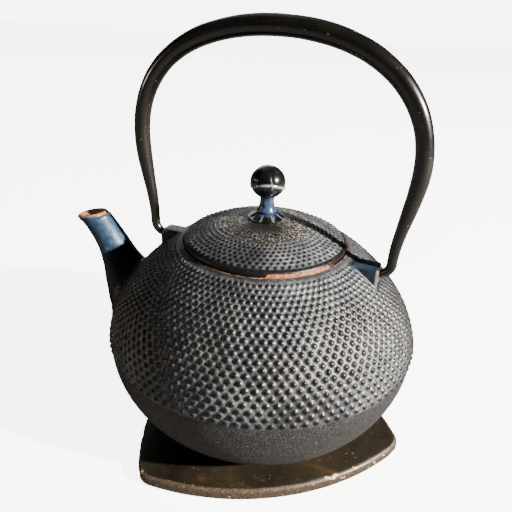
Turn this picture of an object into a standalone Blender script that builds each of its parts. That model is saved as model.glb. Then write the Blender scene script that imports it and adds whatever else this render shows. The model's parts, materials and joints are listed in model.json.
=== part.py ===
"""Cast iron teapot with a swinging bail handle, a lid with a bud knob, an infuser and a trivet.

Frame: metres, +Z up, origin on the ground under the pot's axis, on the trivet's flat underside.
The spout points to -X and the handle swings about an axis along X through the two lugs.
"""
import math

import bmesh
import bpy
from mathutils import Matrix, Vector

MM = 0.001

# Clearances
GAP = 0.3 * MM                  # between neighbouring or resting pieces
LID_GAP = 0.8 * MM              # round the lid's rim

# Trivet: a rounded three-cornered plate of constant width
TRIVET_CORNER = 72.0 * MM       # centre of a corner's arc from the middle
TRIVET_CORNER_ROUND = 10.0 * MM
TRIVET_THICKNESS = 7.0 * MM
TRIVET_EDGE_ROUND = 2.2 * MM
TRIVET_TURN = math.radians(2.0)
TRIVET_MIDDLE = (3.5 * MM, -6.4 * MM)           # the pot stands a little off the plate's middle
TRIVET_ARC_STEPS = 12
TRIVET_CORNER_STEPS = 6
ARC_HALF = math.radians(30.0)   # half the sweep of every arc of the outline

# Pot: heights are above the pot's base, which rests on the trivet
POT_BASE = TRIVET_THICKNESS + GAP
BELLY_RADIUS = 84.2 * MM        # under the raised dots
BELLY_HEIGHT = 53.0 * MM
DOME_RISE = 67.0 * MM           # belly to the crown that the dome would have if it were closed
DOME_POWER = 1.7                # superellipse power of the dome
BOWL_DROP = 65.1 * MM           # lower semi-axis of the bowl, cut off flat at the base
BASE_WALL = 4.5 * MM
WALL = 3.2 * MM
SHOULDER_EXTRA = 1.3 * MM       # the shoulder's wall is thicker by this much
MOUTH_RADIUS = 43.8 * MM
LID_LEDGE_HEIGHT = 103.6 * MM
LID_LEDGE_RADIUS = 42.0 * MM    # inner edge of the ledge that the lid rests on
RIM_LEDGE_HEIGHT = 102.4 * MM   # ledge that the infuser's rim rests on
THROAT_RADIUS = 37.8 * MM
THROAT_BOTTOM = 98.6 * MM
TURN_STEPS = 52
SMALL_TURN_STEPS = 28

# Spout: a tapering tube in the plane y = 0, given as (x, height, radius)
SPOUT_LINE = (
    (-66.0, 42.0, 20.0),
    (-79.6, 54.0, 19.8),
    (-87.6, 66.0, 15.0),
    (-92.8, 76.5, 11.2),
    (-97.5, 86.2, 9.3),
    (-102.7, 94.4, 8.5),
    (-107.2, 99.8, 8.1),
    (-111.0, 103.1, 8.2),
    (-119.0, 109.9, 8.6),
)
SPOUT_BORE_START = (-70.0, 46.0, 9.0)
SPOUT_WALL = 2.4 * MM
SPOUT_TIP = (-110.1 * MM, 102.4 * MM)
SPOUT_TIP_TILT = math.radians(11.0)

# Lugs and the hinge of the handle
HINGE_HEIGHT = 99.5 * MM
LUG_OUTER = 61.5 * MM
LUG_INNER = 42.0 * MM
LUG_TOP = 103.3 * MM
LUG_BOTTOM = 84.0 * MM
LUG_THICKNESS = 12.0 * MM
LUG_ROUND = 2.4 * MM
PEG_RADIUS = 2.2 * MM
PEG_END = 56.0 * MM
PEG_HOLE_RADIUS = 2.7 * MM
PEG_HOLE_END = 55.2 * MM
PEG_HOLE_BEYOND = 4.0 * MM      # how far the drill starts outside the lug

# Handle: the bent bar. Each station is offset (x, z) from the hinge axis, bar radius, direction
# of travel, and how far the curve's control points reach before and after it
PEG_STATION = (PEG_END, 0.0, PEG_RADIUS, (1.0, 0.0), 1.5 * MM, 1.5 * MM)
BEND_STATION = (61.9 * MM, 0.0, PEG_RADIUS, (1.0, 0.0), 2.4 * MM, 2.4 * MM)
FOOT_STATION = (66.8 * MM, 6.0 * MM, 2.55 * MM, (0.0, 1.0), 3.0 * MM, 17.0 * MM)
SHOULDER_STATION = (72.9 * MM, 55.5 * MM, 4.2 * MM, (0.0, 1.0), 17.0 * MM, 34.0 * MM)
ARCH_STATION = (0.0, 111.8 * MM, 4.9 * MM, (-1.0, 0.0), 45.0 * MM, 45.0 * MM)

# Lid
LID_RADIUS = MOUTH_RADIUS - LID_GAP
LID_BOTTOM = LID_LEDGE_HEIGHT + GAP
LID_CROWN_RISE = 66.9 * MM      # the lid's own dome, flatter than the pot's and proud at its rim
LID_CROWN_SPREAD = 91.2 * MM
LID_THICKNESS = 3.8 * MM
LID_SEAT_RADIUS = 10.4 * MM     # flat seat of the rosette
LID_SKIRT_OUTER = 35.0 * MM
LID_SKIRT_INNER = 33.0 * MM
LID_SKIRT_BOTTOM = 99.2 * MM
SHANK_HOLE_RADIUS = 2.7 * MM

# Knob, its rosette and its washer
SHANK_RADIUS = 2.3 * MM
ROSETTE_RADIUS = 9.8 * MM
ROSETTE_RISE = 3.4 * MM
ROSETTE_TOP_RADIUS = 4.6 * MM
NECK_BASE_RADIUS = 4.4 * MM
NECK_RADIUS = 3.7 * MM
BALL_RADIUS = 9.0 * MM
BALL_RISE = 8.5 * MM            # half the ball's height
BALL_HEIGHT = 138.3 * MM
WASHER_RADIUS = 6.5 * MM
WASHER_THICKNESS = 1.0 * MM
RIVET_HEAD_RADIUS = 3.9 * MM
RIVET_HEAD_THICKNESS = 1.4 * MM

# Infuser
RIM_OUTER = 41.6 * MM
RIM_THICKNESS = 0.8 * MM
COLLAR_OUTER = 37.3 * MM
COLLAR_WALL = 0.8 * MM
COLLAR_DEPTH = 5.0 * MM
COLLAR_OVERLAP = 1.2 * MM        # of the collar over the basket's wall
BASKET_TOP_RADIUS = 36.2 * MM
BASKET_BOTTOM_RADIUS = 32.4 * MM
BASKET_WALL = 0.5 * MM
BASKET_DEPTH = 45.0 * MM
FLOOR_THICKNESS = 0.6 * MM
FLOOR_RISE = 1.0 * MM            # of the floor's top above the wall's lower edge

IRON = (0.030, 0.029, 0.030, 1.0)
BLACK_STEEL = (0.018, 0.016, 0.014, 1.0)
GLOSS_BLACK = (0.020, 0.021, 0.024, 1.0)
BROWNED_IRON = (0.035, 0.025, 0.018, 1.0)
STAINLESS = (0.60, 0.60, 0.58, 1.0)


def material(name, color, roughness, metallic):
    """A plain Principled material."""
    made = bpy.data.materials.new(name)
    made.use_nodes = True
    shader = made.node_tree.nodes["Principled BSDF"]
    shader.inputs["Base Color"].default_value = color
    shader.inputs["Roughness"].default_value = roughness
    shader.inputs["Metallic"].default_value = metallic
    return made


def place(obj, collection, finish=None):
    """Put an object in a collection, and give it its material."""
    collection.objects.link(obj)
    if finish:
        obj.data.materials.append(finish)
    return obj


def turned(name, profile, closed, collection, finish=None, steps=TURN_STEPS):
    """A turned solid: a profile of (radius, height) points, top to bottom down its outer side.

    An open profile starts and ends on the axis; a closed one is a ring.
    """
    mesh = bpy.data.meshes.new(name)
    points = [(radius, 0.0, height) for radius, height in profile]
    edges = [(i, i + 1) for i in range(len(points) - 1)]
    if closed:
        edges.append((len(points) - 1, 0))
    mesh.from_pydata(points, edges, [])
    obj = place(bpy.data.objects.new(name, mesh), collection, finish)
    screw = obj.modifiers.new("Turn", "SCREW")
    screw.angle = 2.0 * math.pi
    screw.steps = steps
    screw.render_steps = steps
    screw.use_merge_vertices = True
    screw.merge_threshold = 0.00001
    screw.use_smooth_shade = True
    return obj


def boolean(obj, other, operation):
    """Join or cut an object by another with the exact solver."""
    step = obj.modifiers.new(operation.title(), "BOOLEAN")
    step.operation = operation
    step.solver = "EXACT"
    step.object = other


def hide_cutter(obj):
    """Show a cutter as wire only."""
    obj.hide_render = True
    obj.display_type = "WIRE"


def dome_height(radius, belly=BELLY_RADIUS, rise=DOME_RISE):
    """Height of the dome at a radius, above the pot's base."""
    share = 1.0 - (radius / belly) ** DOME_POWER
    return BELLY_HEIGHT + rise * share ** (1.0 / DOME_POWER)


def dome_radius(height, belly=BELLY_RADIUS, rise=DOME_RISE):
    """Radius of the dome at a height above the pot's base."""
    share = 1.0 - ((height - BELLY_HEIGHT) / rise) ** DOME_POWER
    return belly * share ** (1.0 / DOME_POWER)


def dome_arc(start_radius, steps, belly=BELLY_RADIUS, rise=DOME_RISE):
    """Points down the dome from a radius to the belly."""
    first = math.acos((start_radius / belly) ** (DOME_POWER / 2.0))
    points = []
    for i in range(steps + 1):
        angle = first * (1.0 - i / steps)
        radius = belly * math.cos(angle) ** (2.0 / DOME_POWER)
        height = BELLY_HEIGHT + rise * math.sin(angle) ** (2.0 / DOME_POWER)
        points.append((radius, height))
    return points


def bowl_arc(bottom, steps, belly=BELLY_RADIUS, drop=BOWL_DROP):
    """Points down the bowl from the belly to a bottom height."""
    last = math.asin((BELLY_HEIGHT - bottom) / drop)
    points = []
    for i in range(1, steps + 1):
        angle = last * i / steps
        points.append((belly * math.cos(angle), BELLY_HEIGHT - drop * math.sin(angle)))
    return points


def lid_height(radius):
    """Height of the lid's outer surface at a radius, above the pot's base."""
    return dome_height(radius, LID_CROWN_SPREAD, LID_CROWN_RISE)


def lifted(profile):
    """A profile given above the pot's base, in world height."""
    return [(radius, height + POT_BASE) for radius, height in profile]


def tube(name, line, collection):
    """A closed tube mesh along (x, height, radius) points in the plane y = 0, in millimetres."""
    curve = bpy.data.curves.new(name + "_line", "CURVE")
    curve.dimensions = "3D"
    curve.bevel_depth = MM
    curve.bevel_resolution = 6
    curve.use_fill_caps = True
    curve.resolution_u = 3
    spline = curve.splines.new("BEZIER")
    spline.bezier_points.add(len(line) - 1)
    for point, (x, height, radius) in zip(spline.bezier_points, line):
        point.co = (x * MM, 0.0, height * MM + POT_BASE)
        point.handle_left_type = "AUTO"
        point.handle_right_type = "AUTO"
        point.radius = radius
    guide = bpy.data.objects.new(name + "_line", curve)
    collection.objects.link(guide)
    bpy.context.view_layer.update()
    evaluated = guide.evaluated_get(bpy.context.evaluated_depsgraph_get())
    mesh = bpy.data.meshes.new_from_object(evaluated)
    work = bmesh.new()
    work.from_mesh(mesh)
    bmesh.ops.remove_doubles(work, verts=work.verts, dist=0.00001)
    bmesh.ops.recalc_face_normals(work, faces=work.faces)
    work.to_mesh(mesh)
    work.free()
    mesh.shade_smooth()
    solid = bpy.data.objects.new(name, mesh)
    solid.matrix_world = guide.matrix_world
    collection.objects.link(solid)
    bpy.data.objects.remove(guide)
    return solid


def block(name, low, high, collection):
    """A box between two corners."""
    mesh = bpy.data.meshes.new(name)
    work = bmesh.new()
    bmesh.ops.create_cube(work, size=1.0)
    size = Vector(high) - Vector(low)
    bmesh.ops.scale(work, vec=size, verts=work.verts)
    bmesh.ops.translate(work, vec=(Vector(low) + Vector(high)) / 2.0, verts=work.verts)
    work.to_mesh(mesh)
    work.free()
    return place(bpy.data.objects.new(name, mesh), collection)


def make_trivet(collection):
    """The flat three-cornered plate: three wide arcs joined by three corner arcs."""
    side_radius = TRIVET_CORNER * math.sqrt(3.0) + TRIVET_CORNER_ROUND
    third = 2.0 * math.pi / 3.0
    outline = []
    for corner in range(3):
        facing = TRIVET_TURN + corner * third
        centre = Vector((math.cos(facing), math.sin(facing))) * TRIVET_CORNER
        for i in range(TRIVET_CORNER_STEPS):
            angle = facing + ARC_HALF * (2.0 * i / TRIVET_CORNER_STEPS - 1.0)
            spoke = Vector((math.cos(angle), math.sin(angle)))
            outline.append(centre + spoke * TRIVET_CORNER_ROUND)
        opposite = facing + third * 2.0
        hub = Vector((math.cos(opposite), math.sin(opposite))) * TRIVET_CORNER
        middle = opposite + math.pi
        for i in range(TRIVET_ARC_STEPS):
            angle = middle + ARC_HALF * (2.0 * i / TRIVET_ARC_STEPS - 1.0)
            spoke = Vector((math.cos(angle), math.sin(angle)))
            outline.append(hub + spoke * side_radius)
    curve = bpy.data.curves.new("trivet", "CURVE")
    curve.dimensions = "2D"
    curve.fill_mode = "BOTH"
    curve.extrude = TRIVET_THICKNESS / 2.0 - TRIVET_EDGE_ROUND
    curve.bevel_depth = TRIVET_EDGE_ROUND
    curve.bevel_resolution = 2
    curve.offset = -TRIVET_EDGE_ROUND
    spline = curve.splines.new("POLY")
    spline.points.add(len(outline) - 1)
    spline.use_cyclic_u = True
    for point, place_xy in zip(spline.points, outline):
        point.co = (place_xy.x, place_xy.y, 0.0, 1.0)
    finish = material("trivet_iron", BROWNED_IRON, 0.45, 0.3)
    trivet = place(bpy.data.objects.new("trivet", curve), collection, finish)
    trivet.location = (TRIVET_MIDDLE[0], TRIVET_MIDDLE[1], TRIVET_THICKNESS / 2.0)
    return trivet


def make_lug(side, cutters):
    """One rounded ear of the casting, and the blind hole for the handle's peg."""
    tag = "left" if side < 0 else "right"
    xs = sorted((side * LUG_INNER, side * LUG_OUTER))
    low = (xs[0], -LUG_THICKNESS / 2.0, LUG_BOTTOM + POT_BASE)
    high = (xs[1], LUG_THICKNESS / 2.0, LUG_TOP + POT_BASE)
    ear = block("lug_" + tag, low, high, cutters)
    edge = ear.modifiers.new("Round", "BEVEL")
    edge.width = LUG_ROUND
    edge.segments = 3
    hide_cutter(ear)
    mesh = bpy.data.meshes.new("peg_hole_" + tag)
    work = bmesh.new()
    length = LUG_OUTER + PEG_HOLE_BEYOND - PEG_HOLE_END
    bmesh.ops.create_cone(work, cap_ends=True, segments=24, radius1=PEG_HOLE_RADIUS,
                          radius2=PEG_HOLE_RADIUS, depth=length,
                          matrix=Matrix.Rotation(math.pi / 2.0, 4, "Y"))
    work.to_mesh(mesh)
    work.free()
    hole = place(bpy.data.objects.new("peg_hole_" + tag, mesh), cutters)
    hole.location = (side * (PEG_HOLE_END + length / 2.0), 0.0, HINGE_HEIGHT + POT_BASE)
    hide_cutter(hole)
    return ear, hole


def make_pot(collection, cutters):
    """The pot's single casting: a hollow turned body with its spout and two lugs."""
    top = (0.0, dome_height(0.0))
    dome = dome_arc(MOUTH_RADIUS - 3.0 * MM, 12)
    bowl = bowl_arc(0.0, 8)
    profile = lifted([top] + dome + bowl + [(0.0, 0.0)])
    finish = material("pot_iron", IRON, 0.55, 0.4)
    pot = turned("pot_body", profile, False, collection, finish)

    spout = tube("spout_solid", SPOUT_LINE, cutters)
    hide_cutter(spout)
    tip_size = 40.0 * MM
    tip = block("spout_tip_cut", (-tip_size, -tip_size, 0.0), (tip_size, tip_size, tip_size), cutters)
    tip.location = (SPOUT_TIP[0], 0.0, SPOUT_TIP[1] + POT_BASE)
    tip.rotation_euler.y = -SPOUT_TIP_TILT
    hide_cutter(tip)
    boolean(spout, tip, "DIFFERENCE")
    boolean(pot, spout, "UNION")

    holes = []
    for side in (-1, 1):
        ear, hole = make_lug(side, cutters)
        boolean(pot, ear, "UNION")
        holes.append(hole)

    mouth_top = dome_height(0.0) + 5.0 * MM
    cavity_belly = BELLY_RADIUS - WALL
    cavity_rise = DOME_RISE - WALL - SHOULDER_EXTRA
    cavity_drop = BOWL_DROP - WALL
    shoulder = dome_radius(THROAT_BOTTOM, cavity_belly, cavity_rise)
    neck = [
        (0.0, mouth_top),
        (MOUTH_RADIUS, mouth_top),
        (MOUTH_RADIUS, LID_LEDGE_HEIGHT),
        (LID_LEDGE_RADIUS, LID_LEDGE_HEIGHT),
        (LID_LEDGE_RADIUS, RIM_LEDGE_HEIGHT),
        (THROAT_RADIUS, RIM_LEDGE_HEIGHT),
        (THROAT_RADIUS, THROAT_BOTTOM),
    ]
    inner_dome = dome_arc(shoulder, 7, cavity_belly, cavity_rise)
    inner_bowl = bowl_arc(BASE_WALL, 6, cavity_belly, cavity_drop)
    cavity_profile = lifted(neck + inner_dome + inner_bowl + [(0.0, BASE_WALL)])
    cavity = turned("pot_cavity", cavity_profile, False, cutters)
    hide_cutter(cavity)
    boolean(pot, cavity, "DIFFERENCE")

    bore_line = [SPOUT_BORE_START]
    for x, height, radius in SPOUT_LINE[2:]:
        bore_line.append((x, height, radius - SPOUT_WALL / MM))
    bore = tube("spout_bore", bore_line, cutters)
    hide_cutter(bore)
    boolean(pot, bore, "DIFFERENCE")
    for hole in holes:
        boolean(pot, hole, "DIFFERENCE")
    return pot


def make_handle(collection):
    """The bent bar, thickest at the top, with an inward peg at each foot."""
    right = [PEG_STATION, BEND_STATION, FOOT_STATION, SHOULDER_STATION]
    left = []
    for x, z, radius, (dx, dz), before, after in reversed(right):
        left.append((-x, z, radius, (dx, -dz), after, before))
    stations = right + [ARCH_STATION] + left
    curve = bpy.data.curves.new("handle", "CURVE")
    curve.dimensions = "3D"
    curve.bevel_depth = MM
    curve.bevel_resolution = 3
    curve.use_fill_caps = True
    curve.resolution_u = 8
    spline = curve.splines.new("BEZIER")
    spline.radius_interpolation = "EASE"
    spline.bezier_points.add(len(stations) - 1)
    for point, station in zip(spline.bezier_points, stations):
        x, z, radius, (dx, dz), before, after = station
        way = Vector((dx, 0.0, dz))
        point.handle_left_type = "FREE"
        point.handle_right_type = "FREE"
        point.co = (x, 0.0, z)
        point.handle_left = Vector(point.co) - way * before
        point.handle_right = Vector(point.co) + way * after
        point.radius = radius / MM
    finish = material("handle_steel", BLACK_STEEL, 0.3, 0.6)
    handle = place(bpy.data.objects.new("handle", curve), collection, finish)
    handle.location.z = HINGE_HEIGHT + POT_BASE
    return handle


def make_lid(collection):
    """The domed lid: a flat seat in the middle, a rim that rests on the ledge and a skirt."""
    seat = lid_height(LID_SEAT_RADIUS)
    outer = [(SHANK_HOLE_RADIUS, seat), (LID_SEAT_RADIUS, seat)]
    crown_steps = 7
    for i in range(1, crown_steps + 1):
        radius = LID_SEAT_RADIUS + (LID_RADIUS - LID_SEAT_RADIUS) * i / crown_steps
        outer.append((radius, lid_height(radius)))
    rim = [
        (LID_RADIUS, LID_BOTTOM),
        (LID_SKIRT_OUTER, LID_BOTTOM),
        (LID_SKIRT_OUTER, LID_SKIRT_BOTTOM),
        (LID_SKIRT_INNER, LID_SKIRT_BOTTOM),
    ]
    under = []
    under_steps = 3
    for i in range(under_steps + 1):
        radius = LID_SKIRT_INNER + (LID_SEAT_RADIUS - LID_SKIRT_INNER) * i / under_steps
        under.append((radius, lid_height(radius) - LID_THICKNESS))
    under.append((SHANK_HOLE_RADIUS, seat - LID_THICKNESS))
    finish = material("lid_iron", IRON, 0.5, 0.4)
    return turned("lid", lifted(outer + rim + under), True, collection, finish)


def make_knob(collection):
    """The bud knob in one piece with its neck, its shank and the head peened under the washer."""
    seat = lid_height(LID_SEAT_RADIUS)
    rosette_top = seat + GAP + ROSETTE_RISE
    neck_bottom = rosette_top + GAP
    head_top = seat - LID_THICKNESS - WASHER_THICKNESS - 2.0 * GAP
    profile = []
    ball_steps = 12
    last = math.acos(-math.sqrt(1.0 - (NECK_RADIUS / BALL_RADIUS) ** 2))
    for i in range(ball_steps + 1):
        angle = last * i / ball_steps
        profile.append((BALL_RADIUS * math.sin(angle), BALL_HEIGHT + BALL_RISE * math.cos(angle)))
    profile[0] = (0.0, BALL_HEIGHT + BALL_RISE)
    profile += [
        (NECK_RADIUS, neck_bottom + 3.0 * MM),
        (NECK_BASE_RADIUS, neck_bottom + 1.0 * MM),
        (NECK_BASE_RADIUS, neck_bottom),
        (SHANK_RADIUS, neck_bottom),
        (SHANK_RADIUS, head_top),
        (RIVET_HEAD_RADIUS, head_top),
        (RIVET_HEAD_RADIUS * 0.8, head_top - RIVET_HEAD_THICKNESS),
        (0.0, head_top - RIVET_HEAD_THICKNESS),
    ]
    finish = material("knob_iron", GLOSS_BLACK, 0.2, 0.5)
    return turned("knob", lifted(profile), False, collection, finish, SMALL_TURN_STEPS)


def make_rosette(collection):
    """The collar under the knob, flared to the lid."""
    bottom = lid_height(LID_SEAT_RADIUS) + GAP
    profile = [
        (SHANK_HOLE_RADIUS, bottom + ROSETTE_RISE),
        (ROSETTE_TOP_RADIUS, bottom + ROSETTE_RISE),
        (ROSETTE_TOP_RADIUS + 1.0 * MM, bottom + ROSETTE_RISE * 0.7),
        (ROSETTE_RADIUS - 0.8 * MM, bottom + ROSETTE_RISE * 0.4),
        (ROSETTE_RADIUS, bottom + ROSETTE_RISE * 0.2),
        (ROSETTE_RADIUS, bottom),
        (SHANK_HOLE_RADIUS, bottom),
    ]
    finish = material("rosette_iron", GLOSS_BLACK, 0.3, 0.5)
    return turned("knob_rosette", lifted(profile), True, collection, finish, SMALL_TURN_STEPS)


def make_washer(collection):
    """The plain washer between the lid and the knob's peened head."""
    top = lid_height(LID_SEAT_RADIUS) - LID_THICKNESS - GAP
    profile = [
        (SHANK_HOLE_RADIUS, top),
        (WASHER_RADIUS, top),
        (WASHER_RADIUS, top - WASHER_THICKNESS),
        (SHANK_HOLE_RADIUS, top - WASHER_THICKNESS),
    ]
    finish = material("washer_steel", STAINLESS, 0.35, 0.9)
    return turned("knob_washer", lifted(profile), True, collection, finish, SMALL_TURN_STEPS)


def make_infuser(collection):
    """The stainless basket in three pieces: a flanged rim, a tapered wall and a floor disc."""
    steel = material("infuser_steel", STAINLESS, 0.3, 0.9)
    rim_bottom = RIM_LEDGE_HEIGHT + GAP
    rim_top = rim_bottom + RIM_THICKNESS
    collar_inner = COLLAR_OUTER - COLLAR_WALL
    collar_bottom = rim_bottom - COLLAR_DEPTH
    rim = [
        (collar_inner, rim_top),
        (RIM_OUTER, rim_top),
        (RIM_OUTER, rim_bottom),
        (COLLAR_OUTER, rim_bottom),
        (COLLAR_OUTER, collar_bottom),
        (collar_inner, collar_bottom),
    ]
    turned("infuser_rim", lifted(rim), True, collection, steel)
    wall_top = collar_bottom + COLLAR_OVERLAP
    wall_bottom = wall_top - BASKET_DEPTH
    wall = [
        (BASKET_TOP_RADIUS - BASKET_WALL, wall_top),
        (BASKET_TOP_RADIUS, wall_top),
        (BASKET_BOTTOM_RADIUS, wall_bottom),
        (BASKET_BOTTOM_RADIUS - BASKET_WALL, wall_bottom),
    ]
    turned("infuser_wall", lifted(wall), True, collection, steel)
    floor_radius = BASKET_BOTTOM_RADIUS - BASKET_WALL - GAP
    floor_top = wall_bottom + FLOOR_RISE
    floor_disc = [
        (0.0, floor_top),
        (floor_radius, floor_top),
        (floor_radius, floor_top - FLOOR_THICKNESS),
        (0.0, floor_top - FLOOR_THICKNESS),
    ]
    turned("infuser_floor", lifted(floor_disc), False, collection, steel)


def main():
    for obj in list(bpy.data.objects):
        bpy.data.objects.remove(obj)
    parts = bpy.data.collections.new("cast_iron_teapot")
    cutters = bpy.data.collections.new("cutters")
    bpy.context.scene.collection.children.link(parts)
    bpy.context.scene.collection.children.link(cutters)
    make_trivet(parts)
    make_pot(parts, cutters)
    make_handle(parts)
    make_lid(parts)
    make_rosette(parts)
    make_knob(parts)
    make_washer(parts)
    make_infuser(parts)


main()
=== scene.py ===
"""Looks for the cast iron teapot: the dotted pot and lid, bud knob, bail handle, infuser and trivet."""
import json
import math

import bmesh
import bpy
import numpy as np
from mathutils import Matrix, Vector, noise


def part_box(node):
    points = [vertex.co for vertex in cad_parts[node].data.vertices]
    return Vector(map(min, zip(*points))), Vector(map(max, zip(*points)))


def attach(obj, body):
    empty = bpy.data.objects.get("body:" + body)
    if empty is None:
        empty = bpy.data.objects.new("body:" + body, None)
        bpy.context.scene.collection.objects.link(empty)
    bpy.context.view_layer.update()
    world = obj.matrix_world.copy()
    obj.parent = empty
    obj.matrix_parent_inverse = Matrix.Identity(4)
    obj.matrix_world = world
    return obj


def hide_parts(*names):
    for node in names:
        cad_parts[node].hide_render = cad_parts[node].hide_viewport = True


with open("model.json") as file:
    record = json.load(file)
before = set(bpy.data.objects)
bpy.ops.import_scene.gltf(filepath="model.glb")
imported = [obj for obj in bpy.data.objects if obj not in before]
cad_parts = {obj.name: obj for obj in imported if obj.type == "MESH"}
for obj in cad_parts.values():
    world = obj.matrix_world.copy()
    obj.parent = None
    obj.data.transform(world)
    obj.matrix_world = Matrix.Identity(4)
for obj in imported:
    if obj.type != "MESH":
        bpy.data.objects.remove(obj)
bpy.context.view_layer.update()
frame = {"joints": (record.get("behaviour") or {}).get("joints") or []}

MM = 0.001
rng = np.random.default_rng(7)

# ---- Places and sizes, from the frame ----
pot_low, pot_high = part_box("pot_body")
lid_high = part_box("lid")[1]
BASE = pot_low.z  # height of the pot's flat base
BELLY_RADIUS = pot_high.y  # the pot is widest across Y at its belly
BELLY = BASE + 53.0 * MM  # height of the widest ring
DOME_RISE = 67.0 * MM  # belly to the crown of the closed dome
LID_RISE = 66.9 * MM  # the lid's own dome, flatter than the pot's
LID_SPREAD = 91.2 * MM
DOME_POWER = 1.7  # superellipse power of the dome
BOWL_DROP = 65.1 * MM  # lower semi-axis of the bowl
HINGE = next(j["pos_m"][2] for j in frame["joints"] if j["name"] == "handle_swing")

# Dotted zones: dots in staggered rows with the same count in every row
POT_DOTS = 104
LID_DOTS = 74
POT_DOT_SIZE = 1.55 * MM  # largest radius of a dot
LID_DOT_SIZE = 1.12 * MM
COLUMNS_PER_DOT = 8
STEPS_PER_ROW = 5


def dome_z(radius, rise=DOME_RISE, belly=BELLY_RADIUS):
    """Height of the dome at a radius."""
    share = np.clip(1.0 - (np.asarray(radius) / belly) ** DOME_POWER, 0.0, 1.0)
    return BELLY + rise * share ** (1.0 / DOME_POWER)


def dome_r(height, rise=DOME_RISE, belly=BELLY_RADIUS):
    """Radius of the dome at a height above the belly."""
    share = np.clip(1.0 - ((height - BELLY) / rise) ** DOME_POWER, 0.0, 1.0)
    return belly * share ** (1.0 / DOME_POWER)


def dome_curve(radius_top, count, rise=DOME_RISE, belly=BELLY_RADIUS):
    """Points (radius, height) down the dome from a radius to the belly."""
    first = math.acos((radius_top / belly) ** (DOME_POWER / 2.0))
    angle = first * (1.0 - np.linspace(0.0, 1.0, count))
    radius = belly * np.cos(angle) ** (2.0 / DOME_POWER)
    height = BELLY + rise * np.sin(angle) ** (2.0 / DOME_POWER)
    return np.stack([radius, height], 1)


def bowl_curve(bottom, count, drop=BOWL_DROP, belly=BELLY_RADIUS):
    """Points (radius, height) down the bowl, from just under the belly to a bottom height."""
    last = math.asin((BELLY - bottom) / drop)
    angle = last * np.linspace(0.0, 1.0, count + 1)[1:]
    return np.stack([belly * np.cos(angle), BELLY - drop * np.sin(angle)], 1)


def run_along(curve):
    """Length along a curve up to each of its points."""
    return np.concatenate([[0.0], np.cumsum(np.linalg.norm(np.diff(curve, axis=0), axis=1))])


def unit(vectors):
    return vectors / np.linalg.norm(vectors, axis=1, keepdims=True)


def ease(share):
    """0 to 1, level at both ends."""
    return share * share * (3.0 - 2.0 * share)


def resample(curve, run, at):
    """The points of a curve at lengths along it."""
    return np.stack([np.interp(at, run, curve[:, 0]), np.interp(at, run, curve[:, 1])], 1)


def even(curve, spacing):
    """The curve resampled so that its points are about `spacing` apart."""
    run = run_along(curve)
    return resample(curve, run, np.linspace(0.0, run[-1], max(2, int(round(run[-1] / spacing)) + 1)))


# ---- Mesh helpers ----
def new_object(name, data):
    obj = bpy.data.objects.new(name, data)
    bpy.context.scene.collection.objects.link(obj)
    return obj


def outward(mesh):
    """Point every face outwards."""
    work = bmesh.new()
    work.from_mesh(mesh)
    bmesh.ops.recalc_face_normals(work, faces=work.faces)
    work.to_mesh(mesh)
    work.free()


def skin(name, rings, closed=False):
    """A skin over rings of points. A ring of one point is a pole, and where the counts of two
    neighbouring rings differ, the finer count is a multiple of the coarser one."""
    points = np.concatenate(rings)
    sizes = [len(r) for r in rings]
    starts = np.concatenate([[0], np.cumsum(sizes)])[:-1]
    faces = []
    pairs = [(i, i + 1) for i in range(len(rings) - 1)]
    if closed:
        pairs.append((len(rings) - 1, 0))
    for a, b in pairs:
        na, nb, sa, sb = sizes[a], sizes[b], starts[a], starts[b]
        if na == nb:
            i = np.arange(na)
            j = (i + 1) % na
            faces += np.stack([sa + i, sa + j, sb + j, sb + i], 1).tolist()
        elif na == 1 or nb == 1:
            count, ring, pole = (nb, sb, sa) if na == 1 else (na, sa, sb)
            for i in range(count):
                faces.append([ring + i, ring + (i + 1) % count, pole])
        else:
            fine, coarse, sf, sc = (na, nb, sa, sb) if na > nb else (nb, na, sb, sa)
            ratio = fine // coarse
            for i in range(coarse):
                edge = [sf + (i * ratio + k) % fine for k in range(ratio + 1)]
                faces.append([sc + (i + 1) % coarse, sc + i] + edge)
    mesh = bpy.data.meshes.new(name)
    mesh.from_pydata(points.tolist(), [], faces)
    mesh.update()
    outward(mesh)
    return new_object(name, mesh)


def angles(count):
    """Evenly spaced directions round a full turn."""
    return np.arange(count) * 2.0 * math.pi / count


def shaped_ring(radius, height, angle):
    """A ring whose radius and height may change round the turn."""
    return np.stack([radius * np.cos(angle), radius * np.sin(angle), height + 0.0 * angle], 1)


def ring(radius, height, count):
    return shaped_ring(radius, height, angles(count))


def beside(radius, height, *offsets):
    """Profile points at offsets, in millimetres, from a radius and a height."""
    return [(radius + out * MM, height + up * MM) for out, up in offsets]


def ring_stack(profile, count):
    return [ring(radius, height, count) for radius, height in profile]


def pole(height):
    return np.array([[0.0, 0.0, height]])


def lathe(name, profile, count, closed):
    """A turned solid from (radius, height) points; a radius of 0 is a pole."""
    rings = []
    for radius, height in profile:
        if radius < 1e-6:
            rings.append(pole(height))
        else:
            rings.append(ring(radius, height, count))
    return skin(name, rings, closed)


def apply_all(obj):
    """Freeze an object's modifiers into its mesh."""
    bpy.context.view_layer.update()
    mesh = bpy.data.meshes.new_from_object(obj.evaluated_get(bpy.context.evaluated_depsgraph_get()))
    obj.modifiers.clear()
    obj.data = mesh


def combine(obj, other, operation):
    """Join or cut two closed meshes, then drop the second."""
    step = obj.modifiers.new(operation, "BOOLEAN")
    step.operation = operation
    step.solver = "MANIFOLD"
    step.object = other
    apply_all(obj)
    bpy.data.objects.remove(other)


def smooth(obj, degrees=35.0):
    obj.data.shade_smooth()
    obj.data.set_sharp_from_angle(angle=math.radians(degrees))


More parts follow.
